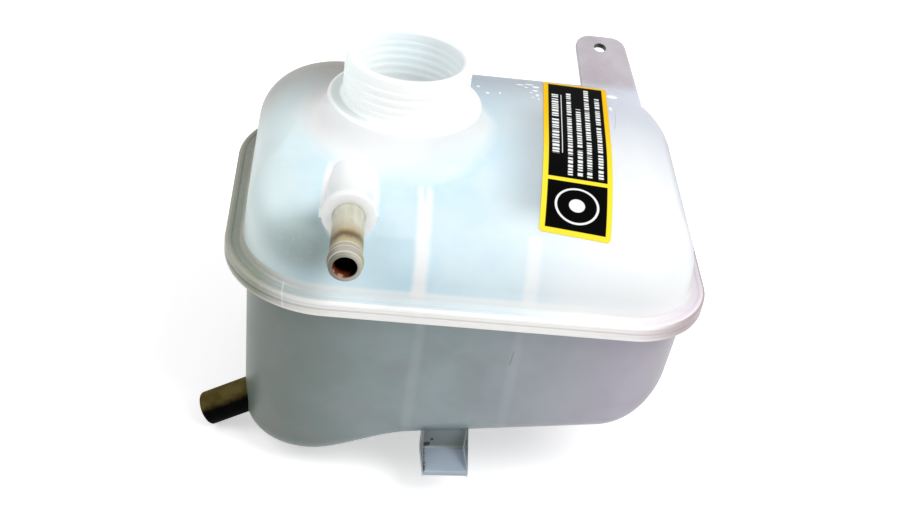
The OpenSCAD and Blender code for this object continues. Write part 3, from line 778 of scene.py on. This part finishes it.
def lower_tone(f, cloud):
    """Grey with a blue cast, the plastic's own tint darkened by painted shade, dark green grey at the
    left as painted shade and lilac at the right, with painted shade at the right end, fainter bands
    over the ribs, a darker floor edge, painted shade on the foot and painted light on its toe, and
    dirt on the foot's upright."""
    left, right = 1 - f.x.rise(-75, 25), f.x.rise(25, 130)
    front = 1 - f.y.rise(-40, -30)
    tint = f.noise(17, 1, seed=6.0)
    # The plastic's own grey tint, darkened by painted shade.
    tone = f.mix(cloud.rise(0.3, 0.7), (0.25, 0.31, 0.32), (0.30, 0.365, 0.38))
    # Painted shade darkens the left end.
    tone = f.mix(left, tone, (0.105, 0.138, 0.108))
    tone = f.mix(right, tone, (0.47, 0.435, 0.52))
    # Painted shade on the right end.
    tone = f.mix(f.x.rise(105, 136) * 0.85, tone, (0.26, 0.24, 0.26))
    tone = f.mix(tint.rise(0.5, 0.75) * 0.14, tone, (0.28, 0.21, 0.24))
    tone = f.mix(rib_bands(f, (-19.5, 23.0), 2.1) * (0.16 + 0.2 * cloud), tone, (0.46, 0.50, 0.50))
    tone = f.mix((1 - over_floor(f).rise(-4, 12)) * 0.25, tone, (0.08, 0.09, 0.08))
    # Painted shade on the foot, and painted light on its toe, which faces up.
    low = (1 - f.z.rise(-155.2, -154.2)) * f.x.band(16, 48, 1)
    tone = f.mix(low, tone, (0.24, 0.27, 0.265))
    toe = (1 - f.z.rise(-158.5, -156)) * (1 - f.y.rise(-70.6, -69.4)) * f.x.band(16, 48, 1)
    tone = f.mix(toe, tone, (0.34, 0.40, 0.47))
    for x, z, size in ((22.8, -160.4, 1.5), (24.9, -159.9, 1.2), (26.7, -157.0, 0.8), (21.9, -157.9, 0.5),
                       (39.4, -150.0, 0.7)):
        spot = 1 - (f.away((x, 0, z), (size, ANY, size)) + (f.noise(0.9, 2, 0.6) - 0.5)).rise(0.8, 1.15)
        tone = f.mix(spot * front * 0.9, tone, (0.02, 0.03, 0.02))
    off = abs(f.x - 0.1 * f.z - 65.7 + f.noise(3, 1, seed=9.0))
    streak = (1 - off.rise(0.1, 0.4)) * f.z.band(-106.5, -98.5, 1.0)
    return f.mix(streak * front * 0.5, tone, (0.10, 0.10, 0.08))


def flange_tone(f, tone):
    """The flange: darker and green at the left as painted shade, bluish on its upper face, white at
    its edge, lilac at the right, with painted highlights in a bright lower edge, a pale line along
    the upper edge and a line at the wall's root, a faint seam between the halves, and painted shade
    along the right end's outer edge and under the left end."""
    # left darkens the flange towards its left end as painted shade.
    left, right = 1 - 0.7 * f.x.rise(-58, -38) - 0.3 * f.x.rise(-44, -5), f.x.rise(70, 140)
    rim = f.attribute("rim")
    level = f.z - TANK_AT[2]

    def line(value, middle, full, end):
        """1 within the full distance of the middle, fading to 0 at the end."""
        return 1 - abs(value - middle).rise(full, end)

    thick = (1 - rim.rise(5.8, 8.2)) * level.band(-5.5, 5.5, 0.6)
    middle = f.mix(level.rise(3.0, 3.7) * (1 - f.x.rise(40, 90)), (0.97, 0.97, 0.96), (0.70, 0.79, 0.82))
    whole = f.mix(right, f.mix(left, middle, (0.24, 0.26, 0.20)), (0.76, 0.68, 0.75))
    tone = f.mix(thick * 0.9, tone, whole)
    edge = 1 - rim.rise(1.3, 2.3)
    pale = f.mix(left, (0.99, 0.97, 0.95), (0.42, 0.38, 0.29))
    # Painted highlights along the upper edge, the lower edge and the wall's root.
    lines = level.band(3.0, 4.6, 0.3) * rim.band(0.1, 1.5, 0.4) * (0.8 - 0.6 * f.x.rise(95, 125))
    lines = lines.most(level.band(-4.6, -1.9, 0.4) * edge)
    lines = lines.most(rim.band(6.2, 8.4, 0.8) * level.band(3.6, 7.5, 0.8) * 0.7)
    tone = f.mix(lines * 0.85, tone, pale)
    faint = (line(level, 0.4, 0.2, 0.7) * (0.4 + 0.2 * left)).most(line(level, 2.1, 0.1, 0.5) * 0.25)
    faint = faint.most(line(rim, 3.6, 0.1, 0.6) * level.rise(3.0, 3.6) * 0.22)
    seam = f.mix(left, (0.50, 0.47, 0.45), (0.10, 0.085, 0.06))
    tone = f.mix(faint * (1 - rim.rise(3.8, 4.6)), tone, seam)
    # Painted shade along the outer edge at the right end.
    outer = (edge * (1 - level.rise(2.2, 3.4)) * 0.7).most((1 - rim.rise(0.7, 1.4)) * 0.9)
    tone = f.mix(f.x.rise(100, 130) * outer, tone, (0.25, 0.19, 0.21))
    shade = (1 - f.x.rise(-70, -60)) * (1 - rim.rise(0.3, 0.7)) * f.y.rise(-22, 5)
    tone = f.mix(shade * 0.85, tone, (0.035, 0.04, 0.03))
    across = line(f.x + (level - 2) * 0.12, -44.4, 0.2, 0.55) * (1 - f.y.rise(-66, -62)) * thick
    return f.mix(across * 0.55, tone, (0.85, 0.84, 0.76))


def glow(f, upper):
    """Light that comes through the thin plastic: at the flange's front edge, on the tank's inner
    floor and ribs, and in the neck, which is whiter at its left and outside, and blue green in
    its bore."""
    edge = (1 - f.attribute("rim").rise(1.0, 2.2)) * f.x.rise(-50, -30) * (1 - f.y.rise(-60, -40))
    glowing = f.mix(edge, (0, 0, 0), (0.085, 0.075, 0.065))
    if not upper:
        sump_start = TANK_AT[0] - SUMP_EDGE
        ground = over_floor(f) + SUMP_DROP * (1 - f.x.rise(sump_start, sump_start + SUMP_RUN))
        middle = f.away((TANK_AT[0], TANK_AT[1], 0), (89, 67, ANY))
        return f.mix(ground.rise(0.8, 2.2) * (1 - middle.rise(0.85, 1.0)), glowing, (0.20, 0.24, 0.24))
    radius = from_neck(f)
    ribs = (1 - radius.rise(23.5, 26)) * (1 - f.z.rise(-44, -37))
    glowing = f.mix(ribs, glowing, (0.26, 0.30, 0.30))
    bore_right = f.mix(f.x.rise(0, 14), (0.10, 0.16, 0.18), (0.02, 0.05, 0.06))
    bore = f.mix(f.x.rise(-17, -2), (0.19, 0.21, 0.20), bore_right)
    glowing = f.mix((1 - radius.rise(24.2, 24.7)) * f.z.rise(-30, -9), glowing, bore)
    outside = radius.rise(26.2, 26.6) * (1 - radius.rise(27.8, 29.5)) * f.z.rise(-23, -18)
    glowing = f.mix(outside, glowing, f.mix(f.x.rise(-30, -4), (0.07, 0.13, 0.12), (0.12, 0.12, 0.12)))
    front = (1 - radius.rise(33, 44)) * radius.rise(28, 32) * (1 - f.y.rise(-30, -12)) * (1 - f.x.rise(2, 16))
    return f.mix(front, glowing, (0.08, 0.08, 0.08))


def milky_plastic(name, upper):
    """Milky translucent moulding with a soft sheen, in one half's tones and the flange's."""
    f = Finish(name, Roughness=0.34, IOR=1.49, Subsurface_Weight=0.35, Subsurface_Scale=0.007,
               Subsurface_Radius=(1.0, 1.0, 1.0), Emission_Strength=1.0)
    cloud = f.noise(26, 3, 0.55)
    fine = f.noise(2.2, 2, 0.6, seed=4.0)
    tone = flange_tone(f, (upper_tone if upper else lower_tone)(f, cloud))
    if upper:
        tone = f.mix(fine.rise(0.55, 0.8) * 0.1, tone, (0.97, 0.98, 0.98))
    f.give("Base Color", tone)
    f.give("Emission Color", glow(f, upper))
    f.material.cycles.emission_sampling = "NONE"
    f.give("Roughness", 0.28 + 0.14 * cloud)
    f.bump(cloud * 0.6 + fine * 0.05, 0.25)
    return f.material


def vent_deposit_and_painted_light():
    """Thin tube under a dull beige deposit, with a brown ring, painted highlights on its bead and
    painted white sparks at its mouth, painted shade on its left side, a rim painted dark at its left
    as shade and lighter at its right as painted light, and a bore painted black as shade, where
    bare copper shows only in a painted glint near the mouth.
    """
    f = Finish("vent_deposit_and_painted_light", Roughness=0.5, Specular_IOR_Level=0.35)
    streak = f.noise(5, 3, 0.6, stretch=(1.6, 0.35, 1.6))
    grain = f.noise(0.9, 2, 0.6)
    y = f.y + (streak - 0.5) * 4
    tone = f.mix(streak.rise(0.3, 0.7), (0.54, 0.53, 0.41), (0.66, 0.65, 0.55))
    tone = f.mix((1 - y.rise(-84, -74)) * 0.8, tone, (0.44, 0.35, 0.16))
    tone = f.mix(y.band(-87.2, -83.2, 2.2), tone, (0.13, 0.075, 0.03))
    tone = f.mix(1 - y.rise(-93, -89), tone, (0.42, 0.39, 0.33))
    tone = f.mix(f.x.rise(-16.5, -13) * (1 - f.y.rise(-92, -76)) * 0.7, tone, (0.36, 0.34, 0.14))
    # Painted shade on the tube's left side.
    tone = f.mix((1 - f.x.rise(-27, -22.5)) * (1 - f.y.rise(-92, -70)) * 0.8, tone, (0.12, 0.10, 0.06))
    # Painted highlights on the bead's rings, on the tube's upper side.
    rings = f.y.band(-91.0, -90.4, 0.3).most(f.y.band(-94.4, -93.8, 0.3)).most(f.y.band(-97.9, -97.2, 0.3))
    tone = f.mix(rings * f.z.rise(-46, -38) * 0.6, tone, (0.86, 0.82, 0.76))
    # The tip's rim is painted dark at its left as shade and lighter at its right as painted light.
    tip = 1 - f.y.rise(-98.4, -97.4)
    tone = f.mix(tip * 0.8, tone, f.mix(f.x.rise(-26, -15), (0.15, 0.15, 0.12), (0.48, 0.46, 0.40)))
    # The bore is painted black as shade, with copper only in a painted glint near its mouth.
    bore = (1 - from_vent(f).rise(VENT_BORE + 0.15, VENT_BORE + 0.45)) * f.y.rise(-99.4, -98.6)
    lit = (1 - f.y.rise(-97, -93.5)) * (1 - f.x.rise(-22, -17)) * (1 - f.z.rise(-45.5, -42.5))
    glint = grain.rise(0.2, 0.5) * lit
    tone = f.mix(bore, tone, f.mix(glint, (0.004, 0.002, 0.0015), (0.55, 0.12, 0.045)))
    # White painted sparks at the mouth, as highlights.
    spark = f.away((-21.6, -97.9, -47.6), (1.3, 1.1, 0.9))
    spark = spark.least(f.away((-24.2, -98.2, -45.4), (0.5, 0.8, 0.9)))
    tone = f.mix(1 - spark.rise(0.5, 1.2), tone, (0.98, 0.74, 0.60))
    f.give("Base Color", tone)
    f.give("Metallic", bore * glint * 0.4)
    f.give("Roughness", 0.42 + 0.25 * streak - 0.3 * tip.most(bore))
    f.bump(streak + grain * 0.25, 0.25)
    return f.material


def outlet_deposit_and_painted_shade():
    """Thin tube under a dark olive brown deposit, painted almost black underneath as shade."""
    f = Finish("outlet_deposit_and_painted_shade", Roughness=0.5, Specular_IOR_Level=0.02)
    streak = f.noise(6, 3, 0.6)
    grain = f.noise(1.0, 2, 0.6, seed=3.0)
    level = f.z - (f.x + 61.2) * 0.6 + f.y * 0.25 + (streak - 0.5) * 3
    tone = f.mix(streak.rise(0.3, 0.7), (0.075, 0.052, 0.011), (0.12, 0.095, 0.033))
    # Painted shade, almost black, on the tube's underside.
    tone = f.mix(1 - level.rise(-173, -168), tone, (0.0006, 0.0006, 0.0006))
    f.give("Base Color", tone)
    f.give("Roughness", 0.5 + 0.2 * streak)
    f.bump(streak + grain * 0.3, 0.3)
    return f.material


def printed_film(length):
    """Black film with a yellow frame and divider, columns of plain white bars, a thin line beside
    the first column, and a ring. The map's v runs back from the front end."""
    f = Finish("printed_film", Roughness=0.5, IOR=1.46, Specular_IOR_Level=0.02)
    width, divider = STICKER_SIZE[0], 29.2
    parts = f.node("SeparateXYZ", {}, {0: f.add("UVMap", {"uv_map": "label"})})
    u, v = (Field(f, parts.outputs[i]) * 100 for i in range(2))
    v = length - v
    worn = f.noise(0.8, 3, 0.7)
    lines = 1 - u.band(2.3, width - 2.2, 0.15) * v.band(2.4, length - 2.0, 0.15)
    lines = lines.most(v.band(divider - 1.15, divider + 1.15, 0.15))
    tone = f.mix(f.noise(12, 2), (0.0005, 0.0005, 0.0005), (0.0015, 0.0015, 0.0015))

    def gaps(pitch, sway, swing, left, low, high):
        """0 in the uneven gaps of a column, and 1 between them."""
        return (v / pitch + (v / sway + left).maths("SINE") * swing + left).maths("FRACT").rise(low, high)

    marks = u.band(8.25, 8.6, 0.1) * v.band(47.2, 101.4, 0.3)
    for left, right, start, end in ((3.8, 7.2, 46.5, 101.7), (10.8, 13.2, 32.3, 104.3),
                                    (15.1, 17.6, 32.2, 89.0), (19.3, 21.8, 32.4, 109.2),
                                    (24.3, 26.8, 32.0, 102.0)):
        words = gaps(13.0, 7.3, 0.25, left, 0.07, 0.12) * gaps(2.3, 1.7, 0.22, left, 0.25, 0.42)
        uneven = 0.35 * (f.noise(1.1, 1, stretch=(0.6, 1, 1), seed=left) - 0.5)
        column = (u + uneven).band(left + 0.15, right - 0.15, 0.2) * v.band(start, end, 0.3)
        marks = marks.most(column * words)
    spot = ((u - 15.4) * (u - 15.4) + (v - 15.2) * (v - 15.2)).maths("SQRT")
    marks = marks.most(spot.band(8.6, 9.6, 0.12)).most(1 - spot.rise(3.3, 3.6))
    tone = f.mix(marks, tone, (0.86, 0.88, 0.88))
    yellow = f.mix(worn, (0.98, 0.76, 0.02), (1.0, 0.82, 0.07))
    tone = f.mix(lines, tone, f.mix(v.rise(25, 95), yellow, (0.95, 0.55, 0.01)))
    f.give("Base Color", tone)
    f.bump(worn, 0.03)
    return f.material


for shell, half in ((upper_shell(), "upper"), (lower_shell(), "lower")):
    rim_map(shell.data)
    plastic = milky_plastic(half + "_milky_plastic", half == "upper")
    finished(shell, half + "_shell", half + "_plastic", plastic)
vent_tube = hose_tube("vent_tube", VENT_TUBE, VENT_BORE, VENT_SEAT, VENT_LENGTH, VENT_BEAD, TO_FRONT, VENT_AT)
finished(vent_tube, "vent_spigot", "vent_metal", vent_deposit_and_painted_light())
outlet_tube = hose_tube("outlet_tube", OUTLET_TUBE, OUTLET_BORE, OUTLET_SEAT, OUTLET_LENGTH, 0,
                        TO_OUTLET, OUTLET_AT)
finished(outlet_tube, "outlet_spigot", "outlet_metal", outlet_deposit_and_painted_shade())
label, label_length = sticker()
finished(label, "sticker", "sticker_film", printed_film(label_length))


def lamp(name, at, towards, size, power):
    """White round lamp that faces a point."""
    data = bpy.data.lights.new(name, "AREA")
    data.shape, data.size, data.energy = "DISK", size, power
    made = put(name, data)
    made.location = at
    made.rotation_euler = (Vector(towards) - Vector(at)).to_track_quat("-Z", "Y").to_euler()


def pale_floor(half_width, height):
    """A floor under the hanging tank, which looks brighter than the light it gives back."""
    mesh = bpy.data.meshes.new("floor")
    corners = [(-1, -1), (1, -1), (1, 1), (-1, 1)]
    mesh.from_pydata([(x * half_width, y * half_width, height) for x, y in corners], [], [(0, 1, 2, 3)])
    put("floor", mesh)
    f = Finish("pale_floor", Roughness=0.9)
    f.shader.inputs["Base Color"].default_value = (0.85, 0.85, 0.85, 1)
    f.shader.inputs["Emission Color"].default_value = (1, 1, 1, 1)
    path = f.node("LightPath", {}, {})
    seen = Field(f, path.outputs["Is Camera Ray"]).most(Field(f, path.outputs["Is Glossy Ray"]))
    f.give("Emission Strength", seen * 0.5)
    mesh.materials.append(f.material)


def white_world(light, seen):
    """An even white world, with one strength for its light and one for how it looks."""
    world = bpy.data.worlds.new("studio")
    bpy.context.scene.world = world
    world.use_nodes = True
    nodes, links = world.node_tree.nodes, world.node_tree.links
    path = nodes.new("ShaderNodeLightPath")
    share = nodes.new("ShaderNodeMath")
    share.operation = "MAXIMUM"
    links.new(path.outputs["Is Camera Ray"], share.inputs[0])
    links.new(path.outputs["Is Glossy Ray"], share.inputs[1])
    level = nodes.new("ShaderNodeMapRange")
    links.new(share.outputs[0], level.inputs["Value"])
    level.inputs["To Min"].default_value = light
    level.inputs["To Max"].default_value = seen
    links.new(level.outputs[0], nodes["Background"].inputs["Strength"])
    nodes["Background"].inputs["Color"].default_value = (1, 1, 1, 1)


def studio():
    """One large soft lamp high on the right, a weak one on the left, a floor and a white world."""
    middle = (0.03, 0, -0.08)
    lamp("key", (0.75, -0.45, 1.05), middle, 0.9, 12)
    lamp("fill", (-0.85, -0.35, 0.95), middle, 0.9, 5)
    pale_floor(6.0, -0.1815)
    white_world(0.44, 1.0)


def camera():
    """The photograph's view: a long way above and in front, rolled a little."""
    yaw, pitch, roll = (math.radians(angle) for angle in CAMERA_TURN)
    ahead = Vector((-math.sin(yaw) * math.cos(pitch), math.cos(yaw) * math.cos(pitch), -math.sin(pitch)))
    right = Vector((math.cos(yaw), math.sin(yaw), 0))
    up = right.cross(ahead)
    right, up = (right * math.cos(roll) + up * math.sin(roll), up * math.cos(roll) - right * math.sin(roll))
    data = bpy.data.cameras.new("camera")
    data.lens, data.sensor_width, data.clip_start = 48, 36, 0.01
    made = put("camera", data)
    turn = Matrix((right, up, -ahead)).transposed().to_4x4()
    made.matrix_world = Matrix.Translation(CAMERA_AT) @ turn
    bpy.context.scene.camera = made


studio()
camera()
bpy.context.scene.view_settings.view_transform = "Standard"
